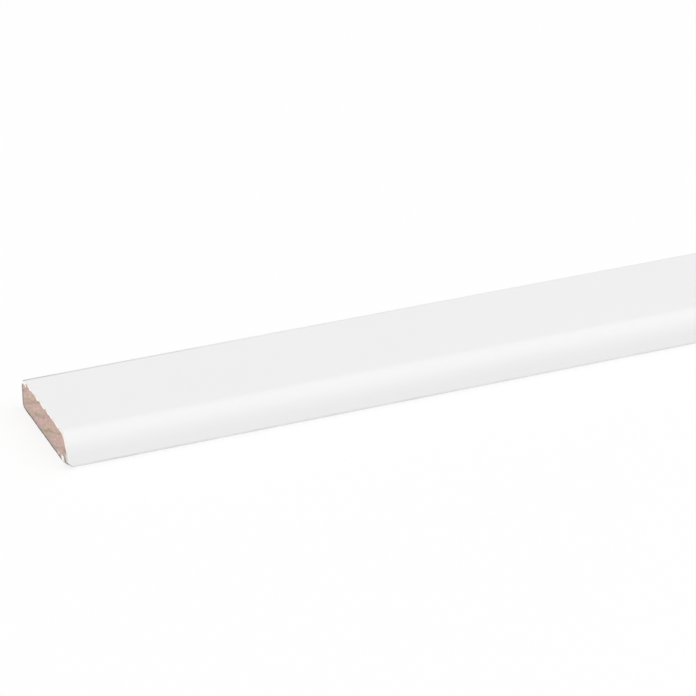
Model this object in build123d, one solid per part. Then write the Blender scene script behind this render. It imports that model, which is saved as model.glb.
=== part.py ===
from build123d import *

import os

# A cover moulding: one length of planed and painted softwood, lying on its flat back.
# X runs along the length, +Y is the back edge, +Z is the face.
# The origin is under the middle of the strip, on the surface that it lies on.

# Driving dimensions in millimetres
LENGTH = 2400.0  # one stock length, sawn square at both ends
WIDTH = 33.0  # across the face, from the nose to the back edge
THICKNESS = 8.0  # from the flat back to the face
NOSE_RADIUS = 5.0  # the large round where the face turns down into the front edge
FACE_EDGE_RADIUS = 3.0  # the softer round where the face meets the back edge
FRONT_ARRIS_RADIUS = 1.0  # the small round under the nose, beside the flat back
BACK_ARRIS_RADIUS = 1.5  # the small round between the back edge and the flat back


def round_above(arris_radius, radius):
    """An edge's upper round, limited by the wall: above its arris the edge keeps a flat at least as wide."""
    return min(radius, THICKNESS - 2 * arris_radius)


def section():
    """The cross-section, looking along X: a flat bar whose four corners have rounds of their own."""
    front, back = -WIDTH / 2, WIDTH / 2
    corners = [(front, 0.0), (back, 0.0), (back, THICKNESS), (front, THICKNESS)]
    radii = [
        FRONT_ARRIS_RADIUS,
        BACK_ARRIS_RADIUS,
        round_above(BACK_ARRIS_RADIUS, FACE_EDGE_RADIUS),
        round_above(FRONT_ARRIS_RADIUS, NOSE_RADIUS),
    ]
    return make_face(Plane.YZ * FilletPolyline(*corners, radius=radii, close=True))


def cover_moulding():
    """The strip: the section carried along the whole length, with both ends square to it."""
    strip = Pos(X=-LENGTH / 2) * extrude(section(), LENGTH, dir=(1, 0, 0))
    strip.label = "cover_moulding"
    return strip


os.makedirs("parts", exist_ok=True)
export_step(cover_moulding(), "parts/cover_moulding.step")
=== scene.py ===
"""A white-painted softwood cover moulding, lying on its flat back on a pale studio floor.

The moulding is one piece and one closed mesh: its section carried along the length, with a grid over each
sawn end. It wears three finishes: the satin topcoat, the sawn end grain inside the cut edge of the paint
film, and the planed back, which the paint only reached along its edges.
"""

import bpy
import numpy as np
from mathutils import Matrix, Vector


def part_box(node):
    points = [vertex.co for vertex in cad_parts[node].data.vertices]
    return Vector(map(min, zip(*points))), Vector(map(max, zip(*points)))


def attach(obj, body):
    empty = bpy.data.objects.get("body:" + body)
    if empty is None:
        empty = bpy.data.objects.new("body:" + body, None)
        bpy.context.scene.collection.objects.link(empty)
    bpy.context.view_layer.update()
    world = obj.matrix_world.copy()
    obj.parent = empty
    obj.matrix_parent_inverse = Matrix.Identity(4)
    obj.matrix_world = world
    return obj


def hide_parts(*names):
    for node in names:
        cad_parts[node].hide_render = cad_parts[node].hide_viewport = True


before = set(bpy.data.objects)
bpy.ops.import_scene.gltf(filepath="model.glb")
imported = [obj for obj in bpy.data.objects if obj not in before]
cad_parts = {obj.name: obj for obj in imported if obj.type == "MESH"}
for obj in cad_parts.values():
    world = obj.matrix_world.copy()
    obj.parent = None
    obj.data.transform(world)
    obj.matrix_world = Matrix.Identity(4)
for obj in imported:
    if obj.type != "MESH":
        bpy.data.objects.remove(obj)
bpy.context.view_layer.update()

MM = 0.001

# The strip, from the frame, and its four rounds
NODE = "cover_moulding"
LOW, HIGH = (np.array(corner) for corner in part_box(NODE))
LENGTH, WIDTH, THICKNESS = HIGH - LOW
FRONT, BACK = LOW[1], HIGH[1]
NOSE_RADIUS = 5.0 * MM
FACE_EDGE_RADIUS = 3.0 * MM
FRONT_ARRIS_RADIUS = 1.0 * MM
BACK_ARRIS_RADIUS = 1.5 * MM
EASE_DEPTH = 0.07 * MM  # how far the face is eased down where the nose begins
EASE_REACH = 2.5 * MM

# How finely the mesh is divided
ROUND_STEPS = 20
FLAT_STEP = 0.2 * MM
HEIGHT_STEPS = 44
RIM_FINENESS = 0.6  # how much closer the rows of an end lie at its rim than in its middle
CUT_STEPS = 6
LENGTH_STEPS = 36

# The mesh's material slots, in this order
TOPCOAT, SAWN_END, PLANED_BACK = range(3)

# The saw cut: how it left the rim, the corner under the nose and the wood
CUT_RADIUS = 0.16 * MM
CUT_RADIUS_CHANGE = 0.08 * MM
CHIP_PITCH = 2.3 * MM
KNOCK_REACH = np.array([1.5, 4.6, 1.6]) * MM  # how far from the corner the knock goes along each edge
KNOCK_UNEVEN = 0.07  # as a share of that reach
KNOCK_PITCH = 1.1 * MM
SAW_MARK_PITCH = 0.9 * MM
SAW_MARK_SLOPE = np.radians(62.0)
SAW_MARK_DEPTH = 0.015 * MM
EARLY_WOOD_DEPTH = 0.03 * MM
FUZZ_DEPTH = 0.03 * MM
FUZZ_PITCH = (0.8 * MM, 0.6 * MM)
FUZZ_LEAN = (0.37, 0.21)  # how far its two waves lean away from y and from z

# Smooth random values add up sines: their lengths as shares of the pitch, and a sum that they seldom pass
WANDER_LENGTHS = np.array([0.43, 0.71, 1.0, 1.9, 3.7])
WANDER_PEAK = 2.5
# The seeds of the near and the far cut, of the knock, and of the torn fibres on the near and the far end
CUT_SEEDS = (1, 2)
KNOCK_SEED = 5
FUZZ_SEEDS = (11, 12)

# The paint film's cut edge: as wide as the saw spread it, wider at the nose, and broken off the back edge.
# The film covers the wood as far in from the paint as FILM, give or take its rag.
FILM = 0.7 * MM
NOSE_FILM_MORE = 0.9 * MM
BACK_FILM_LACK = 1.2 * MM
# Where the saw dragged the film over the wood: the middle and the half sizes of each patch, in y and z
SMEARS = (
    (BACK - 0.9 * MM, THICKNESS - 0.8 * MM, 1.5 * MM, 1.1 * MM),
    (FRONT + 3.2 * MM, 0.6 * MM, 2.2 * MM, 0.65 * MM),
    (FRONT + 1.5 * MM, 1.9 * MM, 1.0 * MM, 1.4 * MM),
)
SMEAR_STEEPNESS = 0.45  # how fast a point past a smear's edge gets away from the paint

# Grey along the face's edge near the ends, and painted shade under the nose and on the cut's rim along the
# back edge and the back: the angle of each one's middle, from +Y towards +Z, its half width, its strength,
# and the length over which it fades
SHADES_AND_SCUFFS = (
    (np.radians(64), np.radians(26), 0.9, 42 * MM),
    # Painted shade under the nose, where the arris faces the floor
    (np.radians(220), np.radians(38), 0.33, 300 * MM),
    # Painted shade on the cut's rim, along the back edge and the back
    (np.radians(-40), np.radians(110), 1.6, 0.3 * MM),
)
# A grey patch on the ends beside the nose, partly bruise and partly painted shade, in y and z, and painted
# shade in the knocked corner
BRUISE_AND_SHADE_PLACE = (FRONT + 1.9 * MM, 2.2 * MM)
BRUISE_AND_SHADE_SIZE = (1.5 * MM, 1.9 * MM)
BRUISE_AND_SHADE_STRENGTH = 0.72
KNOCK_SHADE = 0.8

# The growth rings rise towards the nose across the sawn end
RING_SPACING = 3.3 * MM
RING_SLOPE = np.radians(25.0)
PITH_DISTANCE = 140.0 * MM
PITH = np.array([0.0, THICKNESS / 2]) - PITH_DISTANCE * np.array([np.sin(RING_SLOPE), np.cos(RING_SLOPE)])
LATE_WOOD = PITH_DISTANCE + 1.3 * MM  # how far from the pith the middle ring's dense, dark part lies
RING_DRIFT = 1.5 * MM
RING_DRIFT_SIZE = 9 * MM
RING_DRIFT_LENGTH = 30

# Below, a pattern's size is across it, its length says how many times longer it is along the strip, its
# tone is the grey that it multiplies a colour by, from its least to its greatest value, and its height is
# a bump height in millimetres. A noise's values lie mostly between these two.
NOISE_LOW, NOISE_HIGH = 0.3, 0.7
SURFACE_IOR = 1.5  # of paint and wood alike
WHITE = (1.0, 1.0, 1.0, 1.0)

# The topcoat: orange peel from the spray, the grain under it, and slow clouds in its tone and gloss
PEEL_SIZE = 1.3 * MM
PEEL_HEIGHT = 0.005
GRAIN_SIZE = 1.1 * MM
GRAIN_LENGTH = 50
GRAIN_HEIGHT = 0.004
CLOUD_SIZE = 35 * MM
TOPCOAT_ROUGHNESS = (0.36, 0.42)
DUST_REACH = 1.0 * MM  # how far from the cut sawdust tints the paint, at most
DUST_SIZE = 4 * MM
DUST_SHARE = 0.6

# The film's edge: its crumbs on the ends, its soft rim, and how ragged it is there and on the back
CRUMB_SIZE = 0.5 * MM
CRUMB_TONE = (0.95, 1.0)
CRUMB_HEIGHT = 0.06
CUT_FILM_ROUGHNESS = 0.6
FILM_RIM = 0.12 * MM
END_RAG = 0.4 * MM
END_RAG_SIZE = 2.0 * MM
OVERRUN = 0.7 * MM
OVERRUN_RAG = 0.6 * MM
OVERRUN_RAG_SIZE = 4 * MM

# The sawn wood's patterns that follow the rings: the size across them, how many times longer each is
# along them, and the place along the strip that it is taken from
BANDS = (2.6 * MM, 7, 1044.0 * MM)
LATE_PATCHES = (1.6 * MM, 4, 493.0 * MM)
STREAKS = (0.45 * MM, 5, 1081.7 * MM)
TORN_FIBRES = (0.8 * MM, 3.5, 548.1 * MM)
BAND_SHIFT = -0.08  # how far late wood moves the bands from pink to tan
PINK = (0.32, 0.58)  # the values over which a band turns from tan to pink
LATE_SHARPNESS = 5.0
LATE_RANGE = (0.05, 0.6)
LATE_TONE = (1.01, 0.79)
STREAK_TONE = (0.83, 1.12)
SPECK_RIM, SPECK_CORE = 0.34, 0.10  # how far from a torn fibre's middle, as shares of its size
SPECKS = (  # the dark and the light ones: which fibres' random values they take, their colour, its share
    ("GREATER_THAN", 0.93, "#7E6858", 0.7),
    ("LESS_THAN", 0.05, "#E2CFBE", 0.6),
)
FIBRE_SIZE = 0.4 * MM
FIBRE_TONE = (0.91, 1.08)
FIBRE_HEIGHT = 0.05
SAWN_ROUGHNESS = 0.8
# Where each grey begins and is strongest: grey above the foot, grey beside the back edge, and painted shade
# in a dark line at the foot
FOOT_GREY = (2.4 * MM, 0.6 * MM)
FOOT_GREY_SHARE = 0.4
BACK_GREY = (BACK - 1.4 * MM, BACK - 0.4 * MM)
FOOT_SHADE = (0.62 * MM, 0.22 * MM)

# The planed back
PLANED_FIBRE_LENGTH = 40
PLANED_FIBRE_TONE = (0.90, 1.05)
PLANED_LATE_SHARPNESS = 3.0
PLANED_ROUGHNESS = 0.62

# How the painted shade and the grey vary: in patches, and from the least to the most
PATCH_SIZE = 3 * MM
PATCH_LENGTH = 3
LEAST_PATCH, MOST_PATCH = 0.5, 1.4

# The UV map: the long sides in rows, so that it isn't all length, and the two ends below them
MAP_ROWS = 5
MAP_ENDS_HEIGHT = 0.13
MAP_GAP = 0.004

# The camera, worked out from the strip's outline in the photograph
IMAGE_SIDE = 696
END_CENTRE_PIXEL = (44.6, 422.1)
CAMERA_YAW = np.radians(22.98)
CAMERA_PITCH = np.radians(26.97)
CAMERA_DEPTH = 775.8 * MM
CAMERA_CLIP = (0.05, 100.0)
LENS = 176.8
SENSOR = 36.0

# The studio, in metres. Near the strip the floor reflects this share of its white and keeps a shadow, which
# fades over these distances from it. Further off it is an even white.
FLOOR_SIZE = 60.0
FLOOR_GAP = 0.05 * MM
FLOOR_REFLECTS = 0.25
FLOOR_FADE = (0.2, 1.2)
FLOOR_WHITE = 1.01  # the strength of its own light
WORLD_FILL = 0.386  # how much light the surround gives, which is seen as 1
SOFTBOXES = (  # name, place, aim, size and radiance
    ("overhead_softbox", (0, -0.35, 1.97), (0, 0, 0), (6.0, 4.8), 0.86),
    ("front_softbox", (0, -1.98, 0.25), (0, 0, 0), (6.0, 0.42), 0.87),
    ("near_end_softbox", (LOW[0] - 2.0, 0, 0.5), (LOW[0], 0, 0), (2.0, 0.9), 1.75),
    ("far_end_softbox", (HIGH[0] + 2.0, 0, 0.5), (HIGH[0], 0, 0), (2.0, 0.9), 1.75),
)


def drop(distance, radius):
    """How far a round falls below its flat, at a distance from the edge: r - sqrt(r^2 - (r - d)^2)."""
    left = radius - np.minimum(distance, radius)
    return radius - np.sqrt(radius**2 - left**2)


def top_of(y):
    """The section's upper outline: the thickness less the drop of the nose and of the face's edge.

    The plane eased the face down a little before the nose, by a bell: depth * exp(-(distance / reach)^2).
    """
    rounds = np.maximum(drop(y - FRONT, NOSE_RADIUS), drop(BACK - y, FACE_EDGE_RADIUS))
    return THICKNESS - rounds - EASE_DEPTH * np.exp(-(((y - FRONT - NOSE_RADIUS) / EASE_REACH) ** 2))


def bottom_of(y):
    """The section's lower outline: the drop of its two arrises, turned up."""
    return np.maximum(drop(y - FRONT, FRONT_ARRIS_RADIUS), drop(BACK - y, BACK_ARRIS_RADIUS))


def wander(at, pitch, seed):
    """Smooth random values, mostly between -1 and 1: a sum of sines whose lengths lie round the pitch."""
    shifts = np.random.default_rng(seed).random(len(WANDER_LENGTHS))
    turns = np.asarray(at)[..., None] / (pitch * WANDER_LENGTHS) + shifts
    return np.sin(2 * np.pi * turns).sum(-1) / WANDER_PEAK


def edge_distance(side, top, radius):
    """How far in from an outline with a round corner: the smaller distance to its two flats.

    In the corner it is the radius less the distance to the round's middle.
    """
    in_corner = (side < radius) & (top < radius)
    return np.where(in_corner, radius - np.hypot(radius - side, radius - top), np.minimum(side, top))


def film_distance(y, z):
    """How far in from the paint a point of the sawn end lies: from the nose, face, back edge or a smear.

    Each smear is an ellipse, past whose edge the distance grows evenly.
    """
    nose_side = edge_distance(y - FRONT - NOSE_FILM_MORE, THICKNESS - z, NOSE_RADIUS)
    back_side = edge_distance(BACK - y + BACK_FILM_LACK, THICKNESS - z, FACE_EDGE_RADIUS)
    distance = np.minimum(nose_side, back_side)
    for across, up, half_width, half_height in SMEARS:
        past = np.hypot((y - across) / half_width, (z - up) / half_height) - 1
        distance = np.minimum(distance, FILM + past * half_height * SMEAR_STEEPNESS)
    return distance


def section_steps():
    """The columns and rows of an end's grid: the y of each column, and each row's share of the height.

    Columns are even in angle over the two upper rounds and even between them. A sine draws the rows
    together at the foot and at the top.
    """
    turn = np.linspace(0, np.pi / 2, ROUND_STEPS)
    nose = FRONT + NOSE_RADIUS * (1 - np.cos(turn))
    edge = BACK - FACE_EDGE_RADIUS * (1 - np.cos(turn[::-1]))
    flat = np.linspace(nose[-1], edge[0], int((edge[0] - nose[-1]) / FLAT_STEP))
    even = np.linspace(0, 1, HEIGHT_STEPS)
    rows = even - RIM_FINENESS * np.sin(2 * np.pi * even) / (2 * np.pi)
    return np.concatenate([nose, flat[1:-1], edge]), rows


def outline(columns, rows):
    """The closed section, anticlockwise about +X: along the flat back, up, along the face and down."""
    low, high = bottom_of(columns), top_of(columns)
    back_edge = low[-1] + rows[1:-1] * (high[-1] - low[-1])
    front_edge = low[0] + rows[-2:0:-1] * (high[0] - low[0])
    upright = np.ones(len(rows) - 2)
    y = np.concatenate([columns, upright * BACK, columns[::-1], upright * FRONT])
    return np.stack([y, np.concatenate([low, back_edge, high[::-1], front_edge])], 1)


def steps_round(loop):
    """The distance from each point of a closed loop to the next."""
    return np.linalg.norm(np.diff(loop, axis=0, append=loop[:1]), axis=1)


def outward_of(loop):
    """The outward normal at each point of a closed loop: the way between its neighbours, turned right."""
    way = np.roll(loop, -1, 0) - np.roll(loop, 1, 0)
    normal = np.stack([way[:, 1], -way[:, 0]], 1)
    return normal / np.linalg.norm(normal, axis=1)[:, None]


def length_steps():
    """Every station's x: close over the cut's round, then each step longer than the last up to the middle.

    There is also a station wherever a row of the UV map ends.
    """
    cut = CUT_RADIUS + CUT_RADIUS_CHANGE
    over_cut = cut * (1 - np.cos(np.linspace(0, np.pi / 2, CUT_STEPS)))
    to_middle = np.geomspace(cut, LENGTH / 2, LENGTH_STEPS)
    row_ends = LENGTH / MAP_ROWS * np.arange(1, MAP_ROWS // 2 + 1)
    from_end = np.unique(np.concatenate([over_cut[:-1], to_middle, row_ends]))
    return np.concatenate([LOW[0] + from_end, (HIGH[0] - from_end)[-2::-1]])


def cut_lengths(x, loop):
    """The outline at every station, as x, y and z, drawn in near each end by the drop of the cut's radius.

    That radius changes along the rim, where the saw chipped it more or less.
    """
    stations = np.broadcast_to(x[:, None, None], (len(x), len(loop), 1))
    loops = np.concatenate([stations, np.broadcast_to(loop, (len(x), *loop.shape))], 2)
    along = np.cumsum(steps_round(loop))
    for seed, from_end in zip(CUT_SEEDS, (x - LOW[0], HIGH[0] - x)):
        radius = CUT_RADIUS + CUT_RADIUS_CHANGE * wander(along, CHIP_PITCH, seed).clip(-1, 1)
        loops[:, :, 1:] -= drop(from_end[:, None], radius)[:, :, None] * outward_of(loop)
    return loops


def rim_index(count, tall, first_inner):
    """The point number at each place of an end's grid: the outline's points round it, new ones inside."""
    index = np.empty((tall, count), int)
    index[0] = np.arange(count)
    index[1:-1, -1] = count + np.arange(tall - 2)
    index[-1] = count + tall - 2 + np.arange(count)[::-1]
    index[1:-1, 0] = 2 * count + tall - 2 + np.arange(tall - 2)[::-1]
    index[1:-1, 1:-1] = first_inner + np.arange((tall - 2) * (count - 2)).reshape(tall - 2, count - 2)
    return index


def inner_points(loop, index):
    """The inner points of an end: a blend of the rim's long sides, plus what its short sides add to it.

    The share of the top in the blend is how far up the front edge's chord a row begins.
    """
    u = np.linspace(0, 1, index.shape[1])[None, :, None]
    bottom, top, left, right = (loop[side] for side in (index[0], index[-1], index[:, 0], index[:, -1]))
    chord = left[-1] - left[0]
    v = ((left - left[0]) @ chord / (chord @ chord))[:, None, None]
    long_sides = (1 - v) * bottom + v * top
    left_adds = left[:, None] - long_sides[:, :1]
    right_adds = right[:, None] - long_sides[:, -1:]
    return (long_sides + (1 - u) * left_adds + u * right_adds)[1:-1, 1:-1].reshape(-1, 3)


def sawn_relief(y, z, seed):
    """How deep the saw cut at each point of an end: in each ring's soft wood, by its marks, torn fibres.

    Rings and marks are waves between 0 and 1, and the fibres the product of two random waves. All of it
    fades out under the film.
    """
    ring = (np.hypot(y - PITH[0], z - PITH[1]) - LATE_WOOD) / RING_SPACING
    early = 0.5 - 0.5 * np.cos(2 * np.pi * ring)
    mark = (y * np.cos(SAW_MARK_SLOPE) + z * np.sin(SAW_MARK_SLOPE)) / SAW_MARK_PITCH
    marks = 0.5 + 0.5 * np.sin(2 * np.pi * mark)
    fuzz_y = wander(y + FUZZ_LEAN[0] * z, FUZZ_PITCH[0], seed)
    fuzz_z = wander(z - FUZZ_LEAN[1] * y, FUZZ_PITCH[1], seed + 1)
    fuzz = (0.5 + 0.5 * fuzz_y * fuzz_z).clip(0, None)
    depth = EARLY_WOOD_DEPTH * early + SAW_MARK_DEPTH * marks + FUZZ_DEPTH * fuzz
    return depth * (film_distance(y, z) / FILM).clip(0, 1)


def end_points(loops, rim):
    """The inner points of the near and the far end, each moved in by the saw's relief."""
    ends = []
    for station, inward, seed in zip((0, -1), (1, -1), FUZZ_SEEDS):
        end = inner_points(loops[station], rim)
        end[:, 0] += inward * sawn_relief(end[:, 1], end[:, 2], seed)
        ends.append(end)
    return ends


def knock(points):
    """How each point moves back to an uneven plane that cuts off the corner under the nose."""
    corner = np.array([LOW[0], FRONT, LOW[2]])
    normal = 1 / KNOCK_REACH
    uneven = 1 + KNOCK_UNEVEN * wander(points[:, 1] + points[:, 2], KNOCK_PITCH, KNOCK_SEED)
    beyond = (uneven - (points - corner) @ normal).clip(0, None)
    return beyond[:, None] * normal / (normal @ normal)


def quads(grid):
    """The values at the four corners of each cell of a grid, cell by cell."""
    corners = (grid[:-1, :-1], grid[1:, :-1], grid[1:, 1:], grid[:-1, 1:])
    return np.stack([corner.ravel() for corner in corners], 1)


def cells(stations, around, rim):
    """The point numbers of every cell's corners, on the long sides, the near end and the far end."""
    sides = (np.arange(around + 1) % around)[:, None] + np.arange(stations) * around
    inner = (rim.shape[0] - 2) * (rim.shape[1] - 2)
    near = np.where(rim < around, rim, rim + (stations - 1) * around)
    far = np.where(rim < around, rim + (stations - 1) * around, near + inner)
    return quads(sides), quads(near), quads(far.T)


def slots(columns, stations, around, end_cells):
    """Each cell's material slot: the flat back's, the other long sides' and then the two ends'."""
    flat = bottom_of(columns) == 0
    on_flat = np.zeros(around, bool)
    on_flat[: len(columns) - 1] = flat[:-1] & flat[1:]
    sides = np.repeat(np.where(on_flat, PLANED_BACK, TOPCOAT), stations - 1)
    return np.concatenate([sides, np.full(end_cells, SAWN_END)])


def side_film(columns, loop):
    """How far in from the flat back's two rims each point of the outline lies, and 0 off the back."""
    y = loop[:, 0]
    inward = np.minimum(y - FRONT - FRONT_ARRIS_RADIUS, BACK - BACK_ARRIS_RADIUS - y).clip(0, None)
    return inward * (np.arange(len(loop)) < len(columns))


def shaded_and_scuffed(x, loop):
    """How grey each point of the long sides is drawn, partly as painted shade: a peak on each round,
    strongest at the ends.

    It falls evenly with the angle from its middle, and by exp(-distance from the end / fade).
    """
    normal = outward_of(loop)
    angle = np.arctan2(normal[:, 1], normal[:, 0])
    from_end = np.minimum(x - LOW[0], HIGH[0] - x)[:, None]
    shade_and_scuff = np.zeros((len(x), len(loop)))
    for middle, half_width, strength, fade in SHADES_AND_SCUFFS:
        turned = abs((angle - middle + np.pi) % (2 * np.pi) - np.pi)
        shade_and_scuff += strength * (1 - turned / half_width).clip(0, None) * np.exp(-from_end / fade)
    return shade_and_scuff


def bruised_and_shaded(y, z):
    """How grey each point of the ends is drawn, partly bruise and partly painted shade: a bell round the
    patch's middle.
    """
    across = (y - BRUISE_AND_SHADE_PLACE[0]) / BRUISE_AND_SHADE_SIZE[0]
    up = (z - BRUISE_AND_SHADE_PLACE[1]) / BRUISE_AND_SHADE_SIZE[1]
    return BRUISE_AND_SHADE_STRENGTH * np.exp(-(across**2 + up**2))


def side_map(x, loop):
    """The long sides' UV corners: rows of equal length, across by x, up by the way round the section."""
    steps = steps_round(loop)
    around = np.concatenate([[0], np.cumsum(steps)]) / steps.sum()
    grid = (len(around), len(x))
    along = quads(np.broadcast_to((x - LOW[0]) / LENGTH * MAP_ROWS, grid))
    up = quads(np.broadcast_to(around[:, None], grid))
    row = np.floor(along.mean(1, keepdims=True))
    row_height = (1 - MAP_ENDS_HEIGHT) / MAP_ROWS
    u = MAP_GAP + (along - row) * (1 - 2 * MAP_GAP)
    v = MAP_ENDS_HEIGHT + row * row_height + MAP_GAP / 2 + up * (row_height - MAP_GAP)
    return np.stack([u, v], 2)


def end_map(points, faces, column):
    """An end's UV corners: its own half of the map's foot, across by y and up by z."""
    u = (points[faces, 1] - FRONT) / WIDTH
    v = (points[faces, 2] - LOW[2]) / THICKNESS
    across = column / 2 + MAP_GAP + u * (0.5 - 2 * MAP_GAP)
    return np.stack([across, MAP_GAP + v * (MAP_ENDS_HEIGHT - 2 * MAP_GAP)], 2)


def moulding():
    """The strip as one closed mesh: the outline carried along X, and at each end a grid on its rim.

    The film attribute says how far in from the paint a point of bare wood lies, and another how grey it is
    drawn, partly as painted shade.
    """
    columns, rows = section_steps()
    loop = outline(columns, rows)
    x = length_steps()
    loops = cut_lengths(x, loop)
    rim = rim_index(len(columns), len(rows), len(loop))
    points = np.concatenate([loops.reshape(-1, 3), *end_points(loops, rim)])
    knocked_back = knock(points)
    points += knocked_back

    sides, near, far = cells(len(x), len(loop), rim)
    uv = np.concatenate([side_map(x, loop), end_map(points, near, 0), end_map(points, far, 1)])
    y, z = points[len(x) * len(loop) :, 1:].T
    film = np.concatenate([np.tile(side_film(columns, loop), len(x)), film_distance(y, z)])
    shade_and_scuff = np.concatenate([shaded_and_scuffed(x, loop).ravel(), bruised_and_shaded(y, z)])
    # Painted shade on the knocked corner, which faces the floor
    shade_and_scuff[knocked_back[:, 0] > 0] = KNOCK_SHADE

    mesh = bpy.data.meshes.new(NODE)
    mesh.from_pydata(points, [], np.concatenate([sides, near, far]).tolist())
    slot = slots(columns, len(x), len(loop), len(near) + len(far))
    mesh.polygons.foreach_set("material_index", slot)
    mesh.attributes.new("film", "FLOAT", "POINT").data.foreach_set("value", film)
    mesh.attributes.new("shade_and_scuff", "FLOAT", "POINT").data.foreach_set("value", shade_and_scuff)
    mesh.uv_layers.new(name="OFBake").data.foreach_set("uv", uv.ravel())
    mesh.shade_smooth()
    return mesh


def colour(code):
    """An sRGB hex code as linear red, green, blue and alpha."""
    share = np.array([int(code[place : place + 2], 16) for place in (1, 3, 5)]) / 255
    linear = np.where(share <= 0.04045, share / 12.92, ((share + 0.055) / 1.055) ** 2.4)
    return (*linear, 1.0)


def add(tree, kind, inputs=None, out=None, **settings):
    """Adds a node with its settings, and sets or links its inputs by name or place. Returns an output."""
    made = tree.nodes.new("ShaderNode" + kind)
    for name, value in settings.items():
        setattr(made, name, value)
    sockets = [socket for socket in made.inputs if socket.enabled]
    names = [socket.name for socket in sockets]
    for key, value in (inputs or {}).items():
        socket = sockets[key if isinstance(key, int) else names.index(key)]
        if isinstance(value, bpy.types.NodeSocket):
            tree.links.new(value, socket)
        else:
            socket.default_value = value
    return next((socket for socket in made.outputs if socket.enabled and out in (None, socket.name)), None)


def emptied(owner):
    """The node tree of a material or a world, with nothing in it."""
    owner.use_nodes = True
    owner.node_tree.nodes.clear()
    return owner.node_tree


def lengthwise(tree, at, times):
    """The place, with its pattern drawn out this many times along the strip."""
    return add(tree, "VectorMath", {0: at, 1: (1 / times, 1.0, 1.0)}, operation="MULTIPLY")


def along_rings(tree, at, pattern):
    """A pattern's inputs: its scale, and the place turned, drawn out along the rings and shifted."""
    size, times, shift = pattern
    turn = {"Location": (shift, 0, 0), "Rotation": (-RING_SLOPE, 0, 0), "Scale": (1, times, 1)}
    turned = add(tree, "Mapping", {"Vector": at} | turn, vector_type="TEXTURE")
    return {"Vector": turned, "Scale": 1 / size}


def toned(tree, tone, value, greys, start=NOISE_LOW, end=NOISE_HIGH):
    """A colour times a grey that runs between two as a value runs from its start to its end."""
    low, high = greys
    span = {"Value": value, "From Min": start, "From Max": end, "To Min": low, "To Max": high}
    grey = add(tree, "MapRange", span)
    return add(tree, "Mix", {"Factor": 1.0, "A": tone, "B": grey}, data_type="RGBA", blend_type="MULTIPLY")


def faded(tree, tone, value, other, start=0.0, end=1.0, share=1.0):
    """A colour that turns into a share of another as a value runs from its start to its end."""
    turned = add(tree, "MapRange", {"Value": value, "From Min": start, "From Max": end, "To Max": share})
    return add(tree, "Mix", {"Factor": turned, "A": tone, "B": colour(other)}, data_type="RGBA")


def paint(tree, at):
    """Satin waterborne topcoat, sprayed over a primed and planed strip: an even white with a soft sheen.

    The spray leaves a faint orange peel about a millimetre across, and the grain shows through as long,
    low ripples. Sawdust, rubbed into the film in patches beside each cut, tints it cream.
    """
    peel = add(tree, "TexNoise", {"Vector": at, "Scale": 1 / PEEL_SIZE, "Detail": 1.0})
    drawn = lengthwise(tree, at, GRAIN_LENGTH)
    grain = add(tree, "TexNoise", {"Vector": drawn, "Scale": 1 / GRAIN_SIZE, "Detail": 2.0})
    cloud = add(tree, "TexNoise", {"Vector": at, "Scale": 1 / CLOUD_SIZE, "Detail": 2.0})
    whites = {"A": colour("#ECECEC"), "B": colour("#EEEEEE")}
    tone = add(tree, "Mix", {"Factor": cloud} | whites, data_type="RGBA")
    either_way = add(tree, "VectorMath", {0: at}, operation="ABSOLUTE")
    from_middle = add(tree, "SeparateXYZ", {0: either_way}, out="X")
    dust = add(tree, "TexNoise", {"Vector": at, "Scale": 1 / DUST_SIZE, "Detail": 2.0})
    dusty = add(tree, "Math", {0: dust, 1: 2 * DUST_REACH, 2: from_middle}, operation="MULTIPLY_ADD")
    start, end = HIGH[0] + 0.5 * DUST_REACH, HIGH[0] + 1.5 * DUST_REACH
    tone = faded(tree, tone, dusty, "#F4E4D9", start, end, DUST_SHARE)
    low, high = TOPCOAT_ROUGHNESS
    gloss = add(tree, "MapRange", {"Value": cloud, "To Min": low, "To Max": high})
    low_grain = add(tree, "Math", {0: grain, 1: GRAIN_HEIGHT}, operation="MULTIPLY")
    height = add(tree, "Math", {0: peel, 1: PEEL_HEIGHT, 2: low_grain}, operation="MULTIPLY_ADD")
    return tone, gloss, height


def cut_film(tree, at):
    """The topcoat and its primer where the saw broke through them: a cream-white, matt, crumbled edge."""
    crumb = add(tree, "TexNoise", {"Vector": at, "Scale": 1 / CRUMB_SIZE, "Detail": 2.0})
    tone = toned(tree, colour("#FFFAF4"), crumb, CRUMB_TONE)
    height = add(tree, "Math", {0: crumb, 1: CRUMB_HEIGHT}, operation="MULTIPLY")
    return tone, CUT_FILM_ROUGHNESS, height


def ring_wave(tree, at):
    """A wave over the distance from the pith: 1 in each ring's late wood, 0 in its early wood.

    It is half of 1 + cos(2 pi (distance + drift - place of the late wood) / ring spacing).
    """
    apart = add(tree, "VectorMath", {0: at, 1: (0.0, *PITH)}, operation="SUBTRACT")
    across = add(tree, "VectorMath", {0: apart, 1: (0.0, 1.0, 1.0)}, operation="MULTIPLY")
    distance = add(tree, "VectorMath", {0: across}, operation="LENGTH", out="Value")
    drawn = lengthwise(tree, at, RING_DRIFT_LENGTH)
    drift = add(tree, "TexNoise", {"Vector": drawn, "Scale": 1 / RING_DRIFT_SIZE, "Detail": 1.0})
    drift = add(tree, "Math", {0: drift, 1: 0.5}, operation="SUBTRACT")
    place = add(tree, "Math", {0: drift, 1: RING_DRIFT, 2: distance}, operation="MULTIPLY_ADD")
    turn = add(tree, "Math", {0: place, 1: LATE_WOOD}, operation="SUBTRACT")
    turn = add(tree, "Math", {0: turn, 1: 2 * np.pi / RING_SPACING}, operation="MULTIPLY")
    turn = add(tree, "Math", {0: turn}, operation="COSINE")
    return add(tree, "MapRange", {"Value": turn, "From Min": -1.0})


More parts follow.
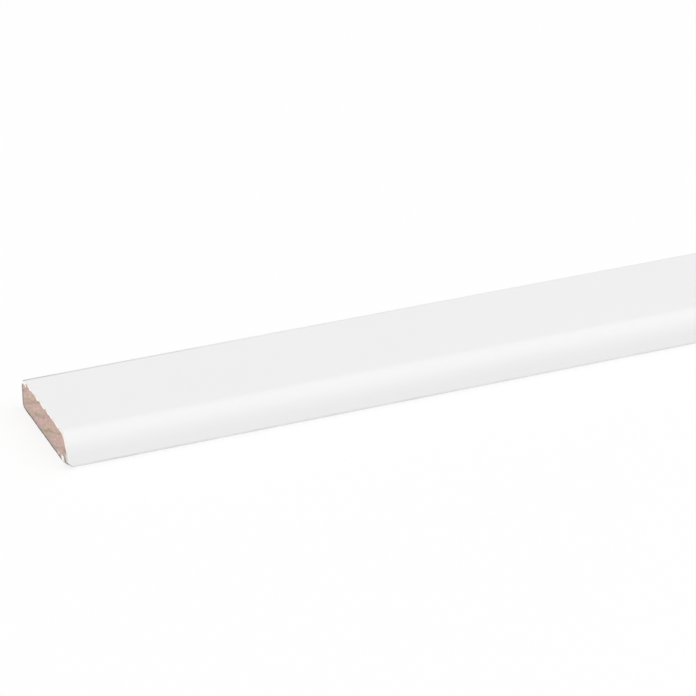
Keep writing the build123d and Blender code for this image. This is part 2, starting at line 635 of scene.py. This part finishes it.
def sawn_pine(tree, at):
    """Pine end grain straight off a fine circular saw: pink-brown and matt, with soft rings.

    Pink and tan bands follow the rings, and each ring's late wood is a darker line that comes and goes.
    Finer streaks follow them too. Torn fibres are dark and light specks, drawn out along the rings. The
    wood is greyer towards its foot and beside the back edge, and painted shade darkens the very foot.
    """
    wave = ring_wave(tree, at)
    band = add(tree, "TexNoise", along_rings(tree, at, BANDS) | {"Detail": 1.0})
    band = add(tree, "Math", {0: wave, 1: BAND_SHIFT, 2: band}, operation="MULTIPLY_ADD")
    tone = faded(tree, colour("#C0A995"), band, "#CAA9A3", *PINK)
    patch = add(tree, "TexNoise", along_rings(tree, at, LATE_PATCHES) | {"Detail": 1.0})
    late = add(tree, "Math", {0: wave, 1: LATE_SHARPNESS}, operation="POWER")
    late = add(tree, "Math", {0: late, 1: patch}, operation="MULTIPLY")
    tone = toned(tree, tone, late, LATE_TONE, *LATE_RANGE)
    streak = add(tree, "TexNoise", along_rings(tree, at, STREAKS) | {"Detail": 2.0})
    tone = toned(tree, tone, streak, STREAK_TONE)
    fibre = add(tree, "TexNoise", {"Vector": at, "Scale": 1 / FIBRE_SIZE, "Detail": 2.0})
    tone = toned(tree, tone, fibre, FIBRE_TONE)

    torn = along_rings(tree, at, TORN_FIBRES)
    away = add(tree, "TexVoronoi", torn)
    kind = add(tree, "SeparateColor", {0: add(tree, "TexVoronoi", torn, out="Color")})
    core = add(tree, "MapRange", {"Value": away, "From Min": SPECK_RIM, "From Max": SPECK_CORE})
    for side, limit, speck, share in SPECKS:
        chosen = add(tree, "Math", {0: kind, 1: limit}, operation=side)
        shown = add(tree, "Math", {0: chosen, 1: core}, operation="MULTIPLY")
        tone = faded(tree, tone, shown, speck, share=share)

    y = add(tree, "SeparateXYZ", {0: at}, out="Y")
    z = add(tree, "SeparateXYZ", {0: at}, out="Z")
    tone = faded(tree, tone, z, "#A09C9A", *FOOT_GREY, FOOT_GREY_SHARE)
    tone = faded(tree, tone, y, "#928E80", *BACK_GREY)
    # Painted shade: a dark line along the very foot of the end
    tone = faded(tree, tone, z, "#43372F", *FOOT_SHADE)
    height = add(tree, "Math", {0: fibre, 1: FIBRE_HEIGHT}, operation="MULTIPLY")
    return tone, SAWN_ROUGHNESS, height


def planed_pine(tree, at):
    """Pine planed along the grain: pale and matt, with the rings as long bands of darker late wood."""
    late = add(tree, "Math", {0: ring_wave(tree, at), 1: PLANED_LATE_SHARPNESS}, operation="POWER")
    tone = faded(tree, colour("#E2CBAE"), late, "#C9A37B")
    drawn = lengthwise(tree, at, PLANED_FIBRE_LENGTH)
    fibre = add(tree, "TexNoise", {"Vector": drawn, "Scale": 1 / FIBRE_SIZE, "Detail": 3.0})
    tone = toned(tree, tone, fibre, PLANED_FIBRE_TONE)
    height = add(tree, "Math", {0: fibre, 1: FIBRE_HEIGHT}, operation="MULTIPLY")
    return tone, PLANED_ROUGHNESS, height


def film_over(tree, at, film, wood, reach, rag, rag_size):
    """The tone, roughness and height of a film as far in as it reaches, and of the wood beyond it.

    The film attribute gives how far in a point is. A noise moves the reach in and out by up to the rag.
    """
    inward = add(tree, "Attribute", attribute_name="film", out="Fac")
    noise = add(tree, "TexNoise", {"Vector": at, "Scale": 1 / rag_size, "Detail": 2.0})
    span = {"From Min": NOISE_LOW, "From Max": NOISE_HIGH, "To Min": reach - rag, "To Max": reach + rag}
    ragged = add(tree, "MapRange", {"Value": noise} | span)
    past = add(tree, "Math", {0: inward, 1: ragged}, operation="SUBTRACT")
    bare = add(tree, "MapRange", {"Value": past, "From Min": -FILM_RIM, "From Max": FILM_RIM})
    tone = add(tree, "Mix", {"Factor": bare, "A": film[0], "B": wood[0]}, data_type="RGBA")
    gloss = add(tree, "Mix", {"Factor": bare, "A": film[1], "B": wood[1]})
    height = add(tree, "Mix", {"Factor": bare, "A": film[2], "B": wood[2]})
    return tone, gloss, height


def sawn_end(tree, at):
    """The sawn end: end grain inside the cut edge of the paint film."""
    return film_over(tree, at, cut_film(tree, at), sawn_pine(tree, at), FILM, END_RAG, END_RAG_SIZE)


def planed_back(tree, at):
    """The flat back: bare planed pine, with the spray's overrun about a millimetre in from both edges."""
    coat, wood = paint(tree, at), planed_pine(tree, at)
    return film_over(tree, at, coat, wood, OVERRUN, OVERRUN_RAG, OVERRUN_RAG_SIZE)


def finish(name, layers):
    """A named material: the tone, roughness and height that its layers give at a place, on one shader.

    Grey is mixed into the tone by an attribute, in patches about 9 mm long: painted shade under the nose,
    on the cut's rim and in the knocked corner, partly painted shade beside the nose, and grey along the
    face's edge.
    """
    material = bpy.data.materials.new(name)
    tree = emptied(material)
    at = add(tree, "TexCoord", out="Object")
    tone, gloss, height = layers(tree, at)
    drawn = lengthwise(tree, at, PATCH_LENGTH)
    noise = add(tree, "TexNoise", {"Vector": drawn, "Scale": 1 / PATCH_SIZE, "Detail": 3.0})
    span = {"From Min": NOISE_LOW, "From Max": NOISE_HIGH, "To Min": LEAST_PATCH, "To Max": MOST_PATCH}
    patchiness = add(tree, "MapRange", {"Value": noise} | span)
    shade_and_scuff = add(tree, "Attribute", attribute_name="shade_and_scuff", out="Fac")
    shaded_and_worn = add(tree, "Math", {0: shade_and_scuff, 1: patchiness}, operation="MULTIPLY")
    # The grey mixed in here is painted shade under the nose, on the cut's rim and in the knocked corner
    tone = faded(tree, tone, shaded_and_worn, "#5F5D5B")
    bump = add(tree, "Bump", {"Height": height, "Distance": MM})
    look = {"Base Color": tone, "Roughness": gloss, "IOR": SURFACE_IOR, "Normal": bump}
    add(tree, "OutputMaterial", {"Surface": add(tree, "BsdfPrincipled", look)})
    return material


def placed(name, data):
    """A new object that shows this data, in the scene."""
    made = bpy.data.objects.new(name, data)
    bpy.context.scene.collection.objects.link(made)
    return made


def softbox(name, place, aim, size, radiance):
    """A rectangular lamp of this radiance, turned from its place towards its aim, unseen by the camera."""
    lamp = bpy.data.lights.new(name, "AREA")
    lamp.shape = "RECTANGLE"
    lamp.size, lamp.size_y = size
    lamp.energy = radiance * np.pi * lamp.size * lamp.size_y
    made = placed(name, lamp)
    made.location = place
    made.rotation_euler = (Vector(aim) - Vector(place)).to_track_quat("-Z", "Y").to_euler()
    made.visible_camera = False


def studio_world():
    """A plain white surround. It lights the strip evenly, and cameras, gloss and glass see it as white."""
    world = bpy.data.worlds.new("surround")
    tree = emptied(world)
    seen = add(tree, "LightPath", out="Is Camera Ray")
    gloss = add(tree, "LightPath", out="Is Glossy Ray")
    glass = add(tree, "LightPath", out="Is Transmission Ray")
    either = add(tree, "Math", {0: seen, 1: gloss}, operation="MAXIMUM")
    plain = add(tree, "Math", {0: either, 1: glass}, operation="MAXIMUM")
    strength = add(tree, "MapRange", {"Value": plain, "To Min": WORLD_FILL, "To Max": 1.0})
    light = add(tree, "Background", {"Color": WHITE, "Strength": strength})
    add(tree, "OutputWorld", {"Surface": light})
    bpy.context.scene.world = world


def white_table_top():
    """Matt white laminate. Most of its white is light of its own, so that a shadow on it is faint.

    The share that it reflects falls to nothing over a metre away from the strip.
    """
    material = bpy.data.materials.new("white_table_top")
    tree = emptied(material)
    place = add(tree, "VectorMath", {0: add(tree, "TexCoord", out="Object")}, operation="ABSOLUTE")
    past_end = add(tree, "VectorMath", {0: place, 1: (LENGTH / 2, 0.0, 0.0)}, operation="SUBTRACT")
    past_end = add(tree, "VectorMath", {0: past_end, 1: (0.0, 0.0, 0.0)}, operation="MAXIMUM")
    away = add(tree, "VectorMath", {0: past_end}, operation="LENGTH", out="Value")
    near, far = FLOOR_FADE
    span = {"Value": away, "From Min": near, "From Max": far, "To Min": FLOOR_REFLECTS, "To Max": 0.0}
    share = add(tree, "MapRange", span, interpolation_type="SMOOTHSTEP")
    matt = add(tree, "BsdfDiffuse", {"Color": colour("#F9F9F9")})
    white = add(tree, "Emission", {"Color": WHITE, "Strength": FLOOR_WHITE})
    mixed = add(tree, "MixShader", {0: share, 1: white, 2: matt})
    add(tree, "OutputMaterial", {"Surface": mixed})
    return material


def studio_floor():
    """A square table top just under the strip."""
    half, level = FLOOR_SIZE / 2, LOW[2] - FLOOR_GAP
    corners = [(-half, -half, level), (half, -half, level), (half, half, level), (-half, half, level)]
    mesh = bpy.data.meshes.new("table_top")
    mesh.from_pydata(corners, [], [(0, 1, 2, 3)])
    mesh.materials.append(white_table_top())
    floor = placed("table_top", mesh)


def camera():
    """The photograph's view, along its yaw and pitch: the sawn end's centre at its pixel and its depth."""
    level = np.cos(CAMERA_PITCH)
    ahead = np.array([np.sin(CAMERA_YAW) * level, np.cos(CAMERA_YAW) * level, -np.sin(CAMERA_PITCH)])
    right = np.array([np.cos(CAMERA_YAW), -np.sin(CAMERA_YAW), 0.0])
    up = np.cross(right, ahead)
    end_centre = np.array([LOW[0], 0.0, THICKNESS / 2])
    pixel = CAMERA_DEPTH * SENSOR / (LENS * IMAGE_SIDE)
    over = (END_CENTRE_PIXEL[0] - IMAGE_SIDE / 2) * pixel
    above = (IMAGE_SIDE / 2 - END_CENTRE_PIXEL[1]) * pixel
    place = end_centre - CAMERA_DEPTH * ahead - over * right - above * up
    lens = bpy.data.cameras.new("camera")
    lens.lens, lens.sensor_width = LENS, SENSOR
    lens.clip_start, lens.clip_end = CAMERA_CLIP
    made = placed("camera", lens)
    made.matrix_world = Matrix(np.stack([right, up, -ahead, place], 1).tolist() + [[0, 0, 0, 1]])
    bpy.context.scene.camera = made


strip = placed("moulding", moulding())
strip.data.materials.append(finish("satin_white_topcoat", paint))
strip.data.materials.append(finish("sawn_pine_end", sawn_end))
strip.data.materials.append(finish("planed_pine_back", planed_back))
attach(strip, "root")
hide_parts(NODE)

studio_floor()
studio_world()
for lamp in SOFTBOXES:
    softbox(*lamp)
camera()
bpy.context.scene.view_settings.view_transform = "Standard"
